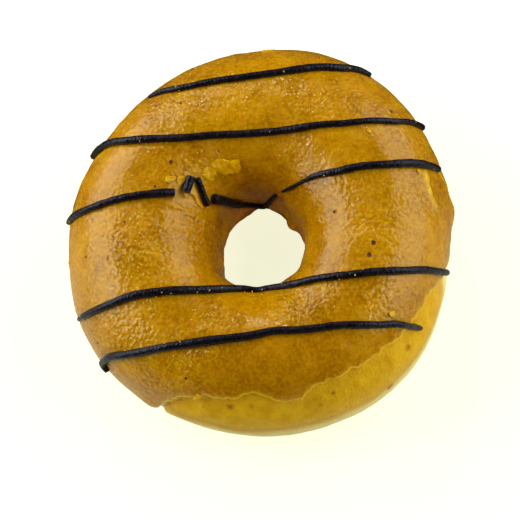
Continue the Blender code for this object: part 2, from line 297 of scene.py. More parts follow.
# Where the sugar lies thick, with bright gold grains that partly stand in for painted glints: theta and phi
# in degrees, reach, share; and its share all over the top
SUGARY_STRETCHES = ((104, 76, 0.0065, 1.0), (298, 108, 0.0035, 0.7))
THIN_SUGAR = 0.06
# Crumbs that stick to the drizzle
CRUMB_DENSITY = 90000
CRUMB_SIZE = 0.00012
CRUMB_SEED = 11
# A grain's shape, in shares of its size: from its least length and width to its greatest, and its height
SPECK_LENGTH = (0.6, 1.9)
SPECK_WIDTH = (0.5, 1.1)
SPECK_HEIGHT = 0.55

# Colours as the eye sees them, in 0 to 255
CARAMEL = (212, 150, 0)
CARAMEL_DEEP = (158, 96, 0)
CARAMEL_PALE = (242, 192, 6)
# The lip's colour: partly the thin icing's paler tone, partly a painted highlight along its edge
LIP_PALE_AND_HIGHLIGHT = (255, 212, 20)
# The pits' walls: partly the bubble's own brown, partly painted shade in the recess
PIT_BROWN_AND_SHADE = (128, 66, 6)
FLAKE_YELLOW = (255, 196, 0)
FLAKE_AMBER = (240, 160, 0)
DOUGH_GOLD = (234, 180, 2)
DOUGH_BROWN = (200, 142, 6)
DOUGH_STRAW = (246, 204, 30)
DOUGH_CREAM = (255, 236, 156)
DOUGH_SPECK = (164, 98, 4)
CHOCOLATE = (14, 10, 14)
CHOCOLATE_DULL = (26, 21, 30)
# The grains' bright gold: partly sugar and crumb colour, partly painted glints
GRAIN_GOLD_AND_GLINT = (255, 214, 60)
GRAIN_AMBER = (242, 192, 6)
FLOOR_PALE = (190, 192, 172)
FLOOR_WARM = (196, 197, 182)
FLOOR_LIGHT = (252, 255, 228)
FLOOR_DARK = (0, 0, 0)

# The camera, in the photograph's frame, and the light
CAMERA_ELEVATION = 71
CAMERA_AZIMUTH = 18
CAMERA_DISTANCE = 0.42
CAMERA_TARGET = (0.00048, -0.00085, 0.011)
CAMERA_ASIDE = -0.00008
CAMERA_DOWN = 0.00264
CAMERA_LENS = 187.5
# Soft lights: name, direction they stand in, distance, width, height, power in watts
LIGHTS = (
    ("softbox_left", (-0.90, 0.31, 0.50), 0.36, 0.50, 0.30, 1.47),
    ("softbox_right", (0.90, 0.31, 0.50), 0.36, 0.54, 0.34, 1.25),
    ("lamp_left", (-0.64, 0.04, 0.76), 0.45, 0.04, 0.04, 0.18),
    ("lamp_right", (0.60, -0.08, 0.80), 0.45, 0.04, 0.04, 0.13),
    ("lamp_behind", (-0.16, 0.68, 0.72), 0.50, 0.04, 0.04, 0.20),
    ("front_fill", (0.35, -0.90, 0.22), 0.42, 0.50, 0.12, 0.38),
)
# Lights that brighten the surface but leave no highlight on it
MATT_LIGHTS = ("front_fill",)
SKY_STRENGTH = 0.012
FLOOR_SIZE = 1.6
FLOOR_GLOW = 0.84
FLOOR_LIGHTING = 0.22
# In the hole and behind the ring the floor leaves no reflection: where that starts, how it widens, its fade
FLOOR_DULL_FROM = 0.014
FLOOR_SPREAD = 0.2
FLOOR_FADE = 0.02

SOCKETS = {
    "shape": "NodeSocketGeometry",
    "number": "NodeSocketFloat",
    "count": "NodeSocketInt",
    "vector": "NodeSocketVector",
}


def arithmetic(operation):
    return lambda number, other: number.do(operation, other)


class Number:
    """A value on a node tree's wires, which takes the usual arithmetic."""

    def __init__(self, tree, socket):
        self.tree = tree
        self.socket = socket

    def do(self, operation, *others):
        node = self.tree.nodes.new("ShaderNodeMath")
        node.operation = operation
        for slot, value in zip(node.inputs, (self, *others)):
            put(self.tree, slot, value)
        return Number(self.tree, node.outputs[0])

    __add__ = __radd__ = arithmetic("ADD")
    __sub__ = arithmetic("SUBTRACT")
    __mul__ = __rmul__ = arithmetic("MULTIPLY")
    __truediv__ = arithmetic("DIVIDE")
    __pow__ = arithmetic("POWER")

    def __abs__(self):
        return self.do("ABSOLUTE")

    def __rsub__(self, other):
        return self * -1 + other

    def __rtruediv__(self, other):
        return self.do("POWER", -1) * other

    def clamped(self):
        return self.do("MAXIMUM", 0).do("MINIMUM", 1)


def put(tree, slot, value):
    """Wires a value to a node's input if it comes from a node, or sets it."""
    if isinstance(value, Number):
        value = value.socket
    if isinstance(value, bpy.types.NodeSocket):
        tree.links.new(value, slot)
    else:
        slot.default_value = value


def add_node(tree, kind, inputs=None, **settings):
    node = tree.nodes.new(kind)
    for name, value in settings.items():
        setattr(node, name, value)
    for key, value in (inputs or {}).items():
        put(tree, node.inputs[key], value)
    return node


def node_value(tree, kind, inputs=None, output=0, **settings):
    """One output of a new node."""
    return Number(tree, add_node(tree, kind, inputs, **settings).outputs[output])


def parts(tree, place):
    """The X, Y and Z of a place."""
    return [Number(tree, part) for part in add_node(tree, "ShaderNodeSeparateXYZ", {0: place}).outputs]


def joined(tree, x=0, y=0, z=0):
    return node_value(tree, "ShaderNodeCombineXYZ", {"X": x, "Y": y, "Z": z})


def new_tree(name, kind, inputs, outputs):
    """A node tree, a way to its inputs by name, and the socket of its result."""
    tree = bpy.data.node_groups.new(name, kind)
    for side, sockets in (("INPUT", inputs), ("OUTPUT", outputs)):
        for label, form in sockets.items():
            tree.interface.new_socket(name=label, in_out=side, socket_type=SOCKETS[form])
    start = tree.nodes.new("NodeGroupInput").outputs
    end = tree.nodes.new("NodeGroupOutput").inputs[0]
    return tree, lambda label: Number(tree, start[label]), end


def shape_tree(name, numbers, counts=()):
    """A geometry tree that takes a shape and named sizes, and gives a shape."""
    sizes = {**dict.fromkeys(numbers, "number"), **dict.fromkeys(counts, "count")}
    return new_tree(name, "GeometryNodeTree", {"Shape": "shape", **sizes}, {"Shape": "shape"})


def pattern_group(name, *numbers):
    """A shader group that takes a place and named numbers, and gives one number."""
    inputs = {"Where": "vector", **dict.fromkeys(numbers, "number")}
    return new_tree(name, "ShaderNodeTree", inputs, {"Value": "number"})


def place_group(tree, group, **values):
    """Puts a group in a tree; its inputs are given as dimple_size and so on."""
    node = add_node(tree, group.bl_idname.replace("Tree", "Group"), node_tree=group)
    for key, value in values.items():
        put(tree, node.inputs[key.replace("_", " ").capitalize()], value)
    return Number(tree, node.outputs[0])


def linear(colour):
    """A colour from 0 to 255 as linear light."""
    shares = [value / 255 for value in colour]
    return tuple(s / 12.92 if s < 0.04045 else ((s + 0.055) / 1.055) ** 2.4 for s in shares)


def noise_number(tree, where, size, detail=2, seed=0):
    """Noise from about -1 to 1, with blobs of that size."""
    inputs = {"Vector": where, "W": seed, "Scale": 1 / size, "Detail": detail}
    return (node_value(tree, "ShaderNodeTexNoise", inputs, "Fac", noise_dimensions="4D") - 0.5) * 2


# The form of the ring


def cosine(angle):
    return angle.do("COSINE") if isinstance(angle, Number) else np.cos(angle)


def sine(angle):
    return angle.do("SINE") if isinstance(angle, Number) else np.sin(angle)


def at_least(value, low):
    return value.do("MAXIMUM", low) if isinstance(value, Number) else np.maximum(value, low)


def swell(theta, swells):
    """The sum of a table's cosines at an angle, an array of angles or a tree's angle."""
    return sum(cosine((theta - math.radians(crest)) * count) * height for count, height, crest in swells)


def soft_step(share):
    """A share from 0 to 1 that starts and ends gently."""
    share = np.clip(share, 0, 1)
    return share * share * (3 - 2 * share)


def ring_place(theta, phi, outer_radius, hole_radius, half_height, base_sunk, waist_drop):
    """X, Y and Z on the dough's skin: at an angle, at an array of them or in a tree."""
    outer = outer_radius + swell(theta, OUTLINE_SWELLS)
    hole = hole_radius + swell(theta, HOLE_SWELLS)
    outwards, upwards = cosine(phi), sine(phi)
    squareness = (1 - outwards) * ((HOLE_SQUARENESS - OUTER_SQUARENESS) / 2) + OUTER_SQUARENESS
    across = abs(outwards / ((outer - hole) / 2)) ** squareness
    upright = abs(upwards / (half_height + swell(theta, HEIGHT_SWELLS))) ** squareness
    reach = (across + upright) ** (-1 / squareness)
    radius = (outer + hole) / 2 + reach * outwards
    waist = waist_drop * at_least(outwards * -1, 0) ** 2
    height = half_height - base_sunk + reach * upwards - waist
    return radius * cosine(theta), radius * sine(theta), at_least(height, 0)


def ring_point(theta, phi):
    """A point on the dough's skin, or an array of them."""
    return np.stack(ring_place(theta, phi, *RING_SIZES.values()), axis=-1)


def skin_normal(theta, phi):
    """The dough's outward normal."""
    step = 1e-3
    along = ring_point(theta + step, phi) - ring_point(theta - step, phi)
    around = ring_point(theta, phi + step) - ring_point(theta, phi - step)
    normal = np.cross(along, around)
    return normal / np.linalg.norm(normal, axis=-1, keepdims=True)


def lifted_point(theta, phi, lift):
    """A point that far above the dough's skin."""
    return ring_point(theta, phi) + skin_normal(theta, phi) * np.asarray(lift)[..., None]


def outer_edge(theta):
    """The tube angle, in degrees, where the icing ends on the outer side."""
    at, edge = zip(*ICING_EDGE)
    return np.interp(np.degrees(theta) % 360, at, edge) + swell(theta, EDGE_SCALLOPS)


def hole_edge(theta):
    """The tube angle, in degrees, where the icing ends in the hole."""
    degrees = np.degrees(theta) % 360
    drips = sum(drop * np.exp(-(((degrees - at) / reach) ** 2)) for at, reach, drop in HOLE_DRIPS)
    return HOLE_EDGE + swell(theta, HOLE_EDGE_SCALLOPS) + drips


def bump(theta, phi, lump):
    """The rise of one lump over an array of places."""
    at_theta, at_phi, reach, height = lump
    middle = ring_point(np.radians(float(at_theta)), np.radians(float(at_phi)))
    away = np.linalg.norm(ring_point(theta, phi) - middle, axis=-1)
    return height * np.exp(-((away / reach) ** 2))


def highest(theta, phi, stretches):
    """The highest of a table's lumps at each place."""
    return np.max([bump(theta, phi, stretch) for stretch in stretches], axis=0)


def fold_rise(theta, phi, fold):
    """The rise of one fold: the highest of a row of beads that swell and fade along it."""
    theta_a, phi_a, theta_b, phi_b, reach, height = fold
    beads = []
    for share in np.linspace(0, 1, FOLD_BEADS):
        at_theta = theta_a + (theta_b - theta_a) * share
        at_phi = phi_a + (phi_b - phi_a) * share
        beads.append((at_theta, at_phi, reach, height * math.sin(math.pi * (0.15 + 0.7 * share))))
    return highest(theta, phi, beads)


def edge_distance(theta, phi):
    """How far a place on the icing is from its nearer edge."""
    step = math.radians(1)
    slope = np.radians(outer_edge(theta + step) - outer_edge(theta - step)) / (2 * step)
    lean = slope * HALF_HEIGHT / OUTER_RADIUS
    from_outer = HALF_HEIGHT * (phi - np.radians(outer_edge(theta))) / np.sqrt(1 + lean**2)
    from_hole = HALF_HEIGHT * (np.radians(hole_edge(theta)) - phi)
    return np.maximum(np.minimum(from_outer, from_hole), 0)


def icing_lift(theta, phi):
    """The height of the icing's outer face above the dough's skin."""
    inside = edge_distance(theta, phi)
    body = ICING_HEIGHT + swell(theta, ICING_SWELLS) * np.sin(ICING_RIPPLES * phi)
    body = body + sum(bump(theta, phi, lump) for lump in LUMPS)
    body = body + sum(fold_rise(theta, phi, fold) for fold in FOLDS)
    curl = np.sqrt(1 - (1 - np.clip(inside / LIP_ROUND, 0, 1)) ** 2)
    fullness = 1 - np.exp(-inside / LIP_WIDTH)
    return (LIP_HEIGHT + LIP_SUNK + (body - LIP_HEIGHT) * fullness) * curl - LIP_SUNK


# Meshes


def add_object(name, data):
    made = bpy.data.objects.new(name, data)
    bpy.context.scene.collection.objects.link(made)
    return made


def mesh_from(name, points, faces, edges=()):
    mesh = bpy.data.meshes.new(name)
    mesh.from_pydata([tuple(p) for p in points], edges, faces)
    return mesh


def settled(mesh):
    """Moves a mesh from the round form's middle to the middle of the real outline."""
    mesh.transform(Matrix.Translation(TO_MIDDLE))
    return mesh


def add_values(mesh, name, values):
    """Gives each of a mesh's points a value under a name."""
    layer = mesh.attributes.new(name, "FLOAT", "POINT")
    layer.data.foreach_set("value", np.asarray(values, np.float32).reshape(-1))


def face_outwards(mesh):
    work = bmesh.new()
    work.from_mesh(mesh)
    bmesh.ops.recalc_face_normals(work, faces=work.faces)
    work.to_mesh(mesh)
    work.free()


def make_plain(made):
    """Makes what an object's modifiers give its own mesh."""
    graph = bpy.context.evaluated_depsgraph_get()
    mesh = bpy.data.meshes.new_from_object(made.evaluated_get(graph))
    made.modifiers.clear()
    made.data = mesh
    return mesh


def grow(name, mesh, tree, values):
    """A plain mesh object, made by a geometry tree from a mesh."""
    made = add_object(name, mesh)
    modifier = made.modifiers.new("growth", "NODES")
    modifier.node_group = tree
    for item in tree.interface.items_tree:
        if item.in_out == "INPUT" and item.name in values:
            modifier[item.identifier] = values[item.name]
    make_plain(made).name = name
    return made


def relief_tree():
    """A tree that raises and lowers a surface by lumps, ripples and grain."""
    layers = ("Lump", "Ripple", "Grain")
    sizes = [f"{layer} {what}" for layer in layers for what in ("size", "height")]
    tree, given, end = shape_tree("relief", (*sizes, "Seed"))
    where = node_value(tree, "GeometryNodeInputPosition")
    rise = 0
    for layer in layers:
        noise = noise_number(tree, where, given(f"{layer} size"), seed=given("Seed"))
        rise = noise * given(f"{layer} height") + rise
    normal = node_value(tree, "GeometryNodeInputNormal")
    offset = node_value(tree, "ShaderNodeVectorMath", {0: normal, "Scale": rise}, operation="SCALE")
    inputs = {"Geometry": given("Shape"), "Offset": offset}
    put(tree, end, node_value(tree, "GeometryNodeSetPosition", inputs))
    return tree


RELIEF = relief_tree()


def add_relief(tree, shape, lump, ripple, grain, seed=0.0):
    """Puts the relief group in a tree; each of its layers is given as a size and a height."""
    pairs = {"lump": lump, "ripple": ripple, "grain": grain}
    sizes = {f"{layer}_size": size for layer, (size, _) in pairs.items()}
    heights = {f"{layer}_height": height for layer, (_, height) in pairs.items()}
    return place_group(tree, RELIEF, shape=shape, seed=seed, **sizes, **heights)


def mesh_number(tree, name):
    """The value that each point of a mesh has under a name, in a geometry tree."""
    inputs = {"Name": name}
    return node_value(tree, "GeometryNodeInputNamedAttribute", inputs, "Attribute", data_type="FLOAT")


def random_number(tree, seed, low, high):
    inputs = {"Seed": seed, 2: low, 3: high}
    return node_value(tree, "FunctionNodeRandomValue", inputs, 1, data_type="FLOAT")


def finish_tree(tree, shape, end, material, smooth_below=None):
    """Ends a tree: real meshes for instances, smooth shading, and the material."""
    shape = node_value(tree, "GeometryNodeRealizeInstances", {"Geometry": shape})
    shape = node_value(tree, "GeometryNodeSetShadeSmooth", {"Geometry": shape, "Shade Smooth": True})
    if smooth_below is not None:
        angle = node_value(tree, "GeometryNodeInputMeshEdgeAngle", output="Unsigned Angle")
        sharp = angle.do("GREATER_THAN", smooth_below)
        inputs = {"Geometry": shape, "Selection": sharp, "Shade Smooth": False}
        shape = node_value(tree, "GeometryNodeSetShadeSmooth", inputs, domain="EDGE")
    put(tree, end, node_value(tree, "GeometryNodeSetMaterial", {"Geometry": shape, "Material": material}))


def ring_tree(material):
    """A tree that bends a flat grid into the dough ring."""
    crumb = ("Crumb size", "Crumb height")
    tree, given, end = shape_tree("dough ring", (*RING_SIZES, *crumb), ("Steps round", "Steps over"))
    spans = {"Size X": 2 * math.pi, "Size Y": 2 * math.pi}
    steps = {"Vertices X": given("Steps round") + 1, "Vertices Y": given("Steps over") + 1}
    grid = node_value(tree, "GeometryNodeMeshGrid", {**spans, **steps}, "Mesh")
    theta, phi, _ = parts(tree, node_value(tree, "GeometryNodeInputPosition"))
    place = joined(tree, *ring_place(theta, phi, *map(given, RING_SIZES)))
    bent = node_value(tree, "GeometryNodeSetPosition", {"Geometry": grid, "Position": place})
    closed = node_value(tree, "GeometryNodeMergeByDistance", {"Geometry": bent, "Distance": 1e-7})
    rough = add_relief(tree, closed, DOUGH_LUMPS, tuple(map(given, crumb)), DOUGH_GRAIN)
    finish_tree(tree, rough, end, material)
    return tree


def icing_tree(material):
    """A tree that gives the icing's skin its small waves."""
    tree, given, end = shape_tree("icing waves", ("Wave height",))
    layers = [(size, given("Wave height") * share) for size, share in WAVE_LAYERS]
    waves = add_relief(tree, given("Shape"), *layers, seed=3.0)
    finish_tree(tree, waves, end, material)
    return tree


def strand_tree(material):
    """A tree that sweeps a round strand along a line of points, each with its own thickness."""
    sizes = ("Radius", "Spacing", "End rounding", "Wobble")
    tree, given, end = shape_tree("drizzle strand", sizes, ("Sides",))
    curve = node_value(tree, "GeometryNodeMeshToCurve", {"Mesh": given("Shape")})
    inputs = {"Curve": curve, "Length": given("Spacing")}
    curve = node_value(tree, "GeometryNodeResampleCurve", inputs, mode="LENGTH")
    where = node_value(tree, "GeometryNodeInputPosition")
    uneven = noise_number(tree, where, DRIZZLE_WAVER, seed=7.0) * given("Wobble") + 1
    along = node_value(tree, "GeometryNodeSplineParameter", output="Length")
    length = node_value(tree, "GeometryNodeSplineLength", output="Length")
    from_end = along.do("MINIMUM", length - along)
    nearness = 1 - (from_end / (given("Radius") * given("End rounding") + 1e-6)).clamped()
    taper = (1 - nearness * nearness).do("MAXIMUM", 0.02).do("SQRT")
    scale = given("Radius") * mesh_number(tree, "thickness") * uneven * taper
    circle = {"Resolution": given("Sides"), "Radius": 1.0}
    circle = node_value(tree, "GeometryNodeCurvePrimitiveCircle", circle)
    inputs = {"Curve": curve, "Profile Curve": circle, "Scale": scale, "Fill Caps": True}
    swept = node_value(tree, "GeometryNodeCurveToMesh", inputs)
    rough = add_relief(tree, swept, *DRIZZLE_RELIEF)
    finish_tree(tree, rough, end, material, smooth_below=math.radians(50))
    return tree


def speck_tree(name, material, masked):
    """A tree that scatters small lumps over a surface, all over or by its share of sugar at each place."""
    tree, given, end = shape_tree(name, ("Density", "Size"), ("Seed",))
    density = given("Density")
    if masked:
        density = density * mesh_number(tree, "sugar")
    inputs = {"Mesh": given("Shape"), "Density": density, "Seed": given("Seed")}
    spread = add_node(tree, "GeometryNodeDistributePointsOnFaces", inputs).outputs
    size = given("Size")
    length, width = random_number(tree, 1, *SPECK_LENGTH), random_number(tree, 2, *SPECK_WIDTH)
    turn = {0: spread["Rotation"], 1: joined(tree, z=random_number(tree, 3, 0.0, 2 * math.pi))}
    inputs = {
        "Points": spread["Points"],
        "Instance": node_value(tree, "GeometryNodeMeshIcoSphere", {"Radius": 1.0, "Subdivisions": 1}),
        "Rotation": node_value(tree, "FunctionNodeRotateRotation", turn, rotation_space="LOCAL"),
        "Scale": joined(tree, size * length, size * width, size * SPECK_HEIGHT),
    }
    finish_tree(tree, node_value(tree, "GeometryNodeInstanceOnPoints", inputs), end, material)
    return tree


# Materials


def mottle_group():
    """A shader group that gives a soft mask of blobs, from 0 to 1."""
    tree, given, end = pattern_group("mottle", "Size", "Contrast", "Level")
    blobs = noise_number(tree, given("Where"), given("Size"), detail=3)
    put(tree, end, (blobs * given("Contrast") + given("Level")).clamped())
    return tree


def speckle_group():
    """A shader group that gives a mask of separate round spots, some larger than others."""
    tree, given, end = pattern_group("speckle", "Spacing", "Radius", "Softness")
    inputs = {"Vector": given("Where"), "Scale": 1 / given("Spacing")}
    cells = add_node(tree, "ShaderNodeTexVoronoi", inputs).outputs
    away = Number(tree, cells["Distance"]) * given("Spacing")
    chance = node_value(tree, "ShaderNodeSeparateColor", {"Color": cells["Color"]})
    put(tree, end, ((given("Radius") * chance - away) / given("Softness")).clamped())
    return tree


def dimple_group():
    """A shader group that gives the height of a skin with dimples and wrinkles."""
    tree, given, end = pattern_group("dimples", "Dimple size", "Wrinkle size", "Wrinkle share")
    inputs = {"Vector": given("Where"), "Scale": 1 / given("Dimple size"), "Smoothness": 0.8}
    dimples = node_value(tree, "ShaderNodeTexVoronoi", inputs, "Distance", feature="SMOOTH_F1") * -1
    wrinkles = noise_number(tree, given("Where"), given("Wrinkle size"), detail=0.6)
    share = given("Wrinkle share")
    put(tree, end, dimples * (1 - share) + wrinkles * share)
    return tree


MOTTLE = mottle_group()
SPECKLE = speckle_group()
DIMPLES = dimple_group()


def mottle(tree, where, size, contrast, level):
    """A soft mask of blobs of that size."""
    return place_group(tree, MOTTLE, where=where, size=size, contrast=contrast, level=level)


def blend_colours(tree, share, first, second):
    """A colour between two others: the first where the share is 0, the second where it is 1."""
    colours = [(*linear(c), 1) if isinstance(c, tuple) else c for c in (first, second)]
    inputs = {"Factor": share, 6: colours[0], 7: colours[1]}
    return node_value(tree, "ShaderNodeMix", inputs, 2, data_type="RGBA")


def bell(value, middle, width):
    """A share that is 1 at a middle value and falls away either side of it."""
    away = ((value - middle) / width) ** 2
    return 1 / (away * away + 1)


def surface_number(tree, name):
    """The value that each point of a mesh has under a name, in a material."""
    return node_value(tree, "ShaderNodeAttribute", output="Fac", attribute_name=name)


def new_material(name):
    """A material, its tree and its Object coordinates."""
    material = bpy.data.materials.new(name)
    material.use_nodes = True
    return material, material.node_tree, node_value(material.node_tree, "ShaderNodeTexCoord", output="Object")


def finished(material, inputs):
    """Gives a material's own shader its inputs."""
    shader = material.node_tree.nodes["Principled BSDF"]
    for name, value in inputs.items():
        put(material.node_tree, shader.inputs[name], value)
    return material


def two_tone(name, first, second, blobs, roughness):
    """A material of two colours in soft blobs, given as size, contrast and level."""
    material, tree, where = new_material(name)
    colour = blend_colours(tree, mottle(tree, where, *blobs), first, second)
    return finished(material, {"Base Color": colour, "Roughness": roughness})


def bumps(tree, where, dimple_size, wrinkle_size, wrinkle_share, distance, share=1):
    """A normal with the bumps of dimples and wrinkles, in units of a distance."""
    sizes = {"dimple_size": dimple_size, "wrinkle_size": wrinkle_size, "wrinkle_share": wrinkle_share}
    height = place_group(tree, DIMPLES, where=where, **sizes) * share
    return node_value(tree, "ShaderNodeBump", {"Height": height, "Distance": distance}, "Normal")


def icing_material():
    material, tree, where = new_material("caramel icing")
    wide = mottle(tree, where, 0.009, 1.8, 0.55)
    patchy = mottle(tree, where, 0.0024, 2.2, 0.5)
    fine = mottle(tree, where, 0.00050, 2.2, 0.45)
    broken = mottle(tree, where, 0.0008, 1.6, 1.15)
    rough = surface_number(tree, "rough")
    # Darker stretches: partly the icing's own deeper tone, partly painted shade on the front
    plain = 1 - surface_number(tree, "tone_and_shade") * 0.6
    colour = blend_colours(tree, (wide * 0.6 + patchy * 0.35) * plain, CARAMEL_DEEP, CARAMEL)
    colour = blend_colours(tree, fine * (rough * 0.30 + 0.22), colour, CARAMEL_PALE)
    inputs = {
        # Pale yellow along the lip and raised edges: partly thin icing, partly a painted highlight
        "Base Color": blend_colours(tree, surface_number(tree, "lip") * broken, colour, LIP_PALE_AND_HIGHLIGHT),
        "Roughness": patchy * 0.12 + 0.17,
        "Normal": bumps(tree, where, 0.00076, 0.00056, 0.45, 0.00028, share=rough),
        "Subsurface Weight": 0.6,
        "Subsurface Radius": (1.0, 0.35, 0.06),
        "Subsurface Scale": 0.0012,
        "Specular Tint": (1.0, 0.90, 0.60, 1),
        "Specular IOR Level": 0.54,
    }
    return finished(material, inputs)


def bubble_material():
    # Darker brown for the pit walls: partly the bubble's own tone, partly painted shade in the recess
    return two_tone("burst bubble", PIT_BROWN_AND_SHADE, CARAMEL_DEEP, (0.0003, 1.5, 0.5), 0.45)


def flake_material():
    material, tree, where = new_material("torn icing")
    patchy = mottle(tree, where, 0.0012, 2.2, 0.55)
    inputs = {
        "Base Color": blend_colours(tree, patchy, FLAKE_AMBER, FLAKE_YELLOW),
        "Roughness": patchy * 0.12 + 0.16,
        "Normal": bumps(tree, where, 0.0007, 0.0005, 0.7, 0.00008),
        "Specular Tint": (1.0, 0.93, 0.76, 1),
        "Subsurface Weight": 0.5,
        "Subsurface Radius": (1.0, 0.5, 0.08),
        "Subsurface Scale": 0.0010,
    }
    return finished(material, inputs)


def dough_material():
    material, tree, where = new_material("fried dough")
    sideways, _, height = parts(tree, where)
    waver = noise_number(tree, where, 0.005) * 0.0012 + noise_number(tree, where, 0.0010) * 0.0005
    cream = bell(height + waver - sideways.do("MINIMUM", 0) * 0.10, 0.0086, 0.0022)
    toasted = bell(height + waver, 0.0118, 0.0007)
    # Browner towards the bottom: painted shade on the dough's lower side
    underside = ((0.0056 - height + waver) / 0.003).clamped()
    patchy = mottle(tree, where, 0.004, 1.3, 0.45)
    fine = mottle(tree, where, 0.0006, 1.8, 0.5)
    straw = mottle(tree, where, 0.0019, 2.2, 0.35)
    specks = place_group(tree, SPECKLE, where=where, spacing=0.0034, radius=0.0009, softness=0.0004)
    ragged = mottle(tree, where, 0.0004, 3.0, 0.7)
    colour = blend_colours(tree, patchy * 0.40 + fine * 0.22, DOUGH_GOLD, DOUGH_BROWN)
    layers = (
        (underside * 0.8, DOUGH_BROWN),
        (straw * 0.45, DOUGH_STRAW),
        (toasted * 0.55, DOUGH_BROWN),
        (cream * 0.9, DOUGH_CREAM),
        (specks * (ragged * 0.4 + 0.5), DOUGH_SPECK),
        # A darkened band under the icing's edge: partly an oil mark, partly painted shadow
        (surface_number(tree, "stain_and_shadow") * 0.22, CARAMEL_DEEP),
    )
    for share, layer in layers:
        colour = blend_colours(tree, share, colour, layer)
    inputs = {
        "Base Color": colour,
        "Roughness": fine * 0.2 + 0.45,
        "Normal": bumps(tree, where, 0.0007, 0.0004, 0.6, 0.00012),
        "Specular Tint": (1.0, 0.88, 0.55, 1),
        "Specular IOR Level": 0.25,
        "Subsurface Weight": 0.2,
        "Subsurface Radius": (1.0, 0.6, 0.25),
        "Subsurface Scale": 0.0012,
    }
    return finished(material, inputs)


def chocolate_material():
    material, tree, where = new_material("dark chocolate")
    dull = mottle(tree, where, 0.0012, 1.6, 0.4)
    inputs = {
        "Base Color": blend_colours(tree, dull, CHOCOLATE, CHOCOLATE_DULL),
        "Roughness": dull * 0.15 + 0.22,
        "Normal": bumps(tree, where, 0.0005, 0.0003, 0.6, 0.00011),
        "Specular IOR Level": 0.30,
        "Specular Tint": (0.72, 0.78, 1.0, 1),
    }
    return finished(material, inputs)


def grain_material():
    # Bright gold grains: partly their own colour, partly painted glints on the icing
    return two_tone("sugar grain", GRAIN_GOLD_AND_GLINT, GRAIN_AMBER, (0.0010, 2.0, 0.5), 0.22)


def floor_material():
    """A pale floor lit through from below, which also lights the ring's lower side and its hole."""
    material, tree, where = new_material("pale floor")
    shade = mottle(tree, where, 0.3, 0.4, 0.5)
    across, back, _ = parts(tree, where)
    beside = across.do("ABSOLUTE")
    behind = ((back + FLOOR_DULL_FROM - beside * FLOOR_SPREAD) / FLOOR_FADE).clamped()
    rays = add_node(tree, "ShaderNodeLightPath").outputs
    mirrored = Number(tree, rays["Is Glossy Ray"]) * behind
    seen = Number(tree, rays["Is Camera Ray"])
    glow = (seen * (FLOOR_GLOW - FLOOR_LIGHTING) + FLOOR_LIGHTING) * (1 - mirrored)
    colour = blend_colours(tree, shade, FLOOR_PALE, FLOOR_WARM)
    inputs = {
        "Base Color": blend_colours(tree, mirrored, colour, FLOOR_DARK),
        "Emission Color": (*linear(FLOOR_LIGHT), 1),
        "Emission Strength": glow,
        "Roughness": 0.9,
    }
    return finished(material, inputs)


# Pieces


def swell_bare_dough(mesh):
    """Swells the dough where no icing holds it in, and marks the darkened band beside the icing's edge:
    partly an oil mark, partly painted shadow under the lip.
    """
    points = np.zeros(len(mesh.vertices) * 3, np.float32)
    mesh.vertices.foreach_get("co", points)
    x, y, z = points.reshape(-1, 3).T.astype(float)
    theta = np.arctan2(y, x)
    radius = np.hypot(x, y)
    outer = OUTER_RADIUS + swell(theta, OUTLINE_SWELLS)
    hole = HOLE_RADIUS + swell(theta, HOLE_SWELLS)
    phi = np.arctan2(z - (HALF_HEIGHT - BASE_SUNK), radius - (outer + hole) / 2)
    degrees = np.degrees(phi)
    edge = outer_edge(theta)
    bare = soft_step((edge - BARE_FROM - degrees) / BARE_SPREAD)
    bare = bare * soft_step((degrees - BARE_FOOT) / BARE_FOOT_SPREAD)
    bare = bare * soft_step((edge - BARE_EDGE) / BARE_SPREAD)
    push = BARE_SWELLING * bare
    radius = radius + push * np.cos(phi)
    z = np.maximum(z + push * np.sin(phi), 0)
    moved = np.stack([radius * np.cos(theta), radius * np.sin(theta), z], axis=-1) + TO_MIDDLE
    mesh.vertices.foreach_set("co", moved.reshape(-1).astype(np.float32))
    below_edge = HALF_HEIGHT * np.radians(edge - degrees)
    add_values(mesh, "stain_and_shadow", np.exp(-((below_edge / STAIN_AND_SHADOW_WIDTH) ** 2)))
    mesh.update()


def make_dough():
    values = {
        **RING_SIZES,
        "Crumb size": DOUGH_CRUMB[0],
        "Crumb height": DOUGH_CRUMB[1],
        "Steps round": DOUGH_STEPS_ROUND,
        "Steps over": DOUGH_STEPS_OVER,
    }
    dough = grow("dough_ring", bpy.data.meshes.new("dough_ring"), ring_tree(dough_material()), values)
    swell_bare_dough(dough.data)
    face_outwards(dough.data)
    return dough


def icing_grid():
    """Angles and heights of the icing's outer and inner faces, row by row from the outer edge inwards."""
    theta = np.linspace(0, 2 * math.pi, ICING_STEPS_ROUND, endpoint=False)[None, :]
    start = np.radians(outer_edge(theta))
    end = np.radians(hole_edge(theta))
    rows = []
    for steps, lift in ((ICING_STEPS_OVER, icing_lift), (ICING_STEPS_UNDER, None)):
        even = np.linspace(0, 1, steps + 1)[:, None]
        share = even - EDGE_CROWDING * np.sin(2 * math.pi * even) / (2 * math.pi)
        phi = start + (end - start) * share
        wide = np.broadcast_to(theta, phi.shape)
        height = lift(wide, phi) if lift else np.full(phi.shape, -INNER_SUNK)
        rows.append((wide, phi, height))
    return rows


def sugar_mask(theta, phi):
    """Where sugar grains lie: thick at some places, and thin all over the top."""
    thick = sum(bump(theta, phi, stretch) for stretch in SUGARY_STRETCHES)
    thin = THIN_SUGAR * np.clip(np.sin(phi), 0, 1)
    return np.clip(thick + thin, 0, 1)


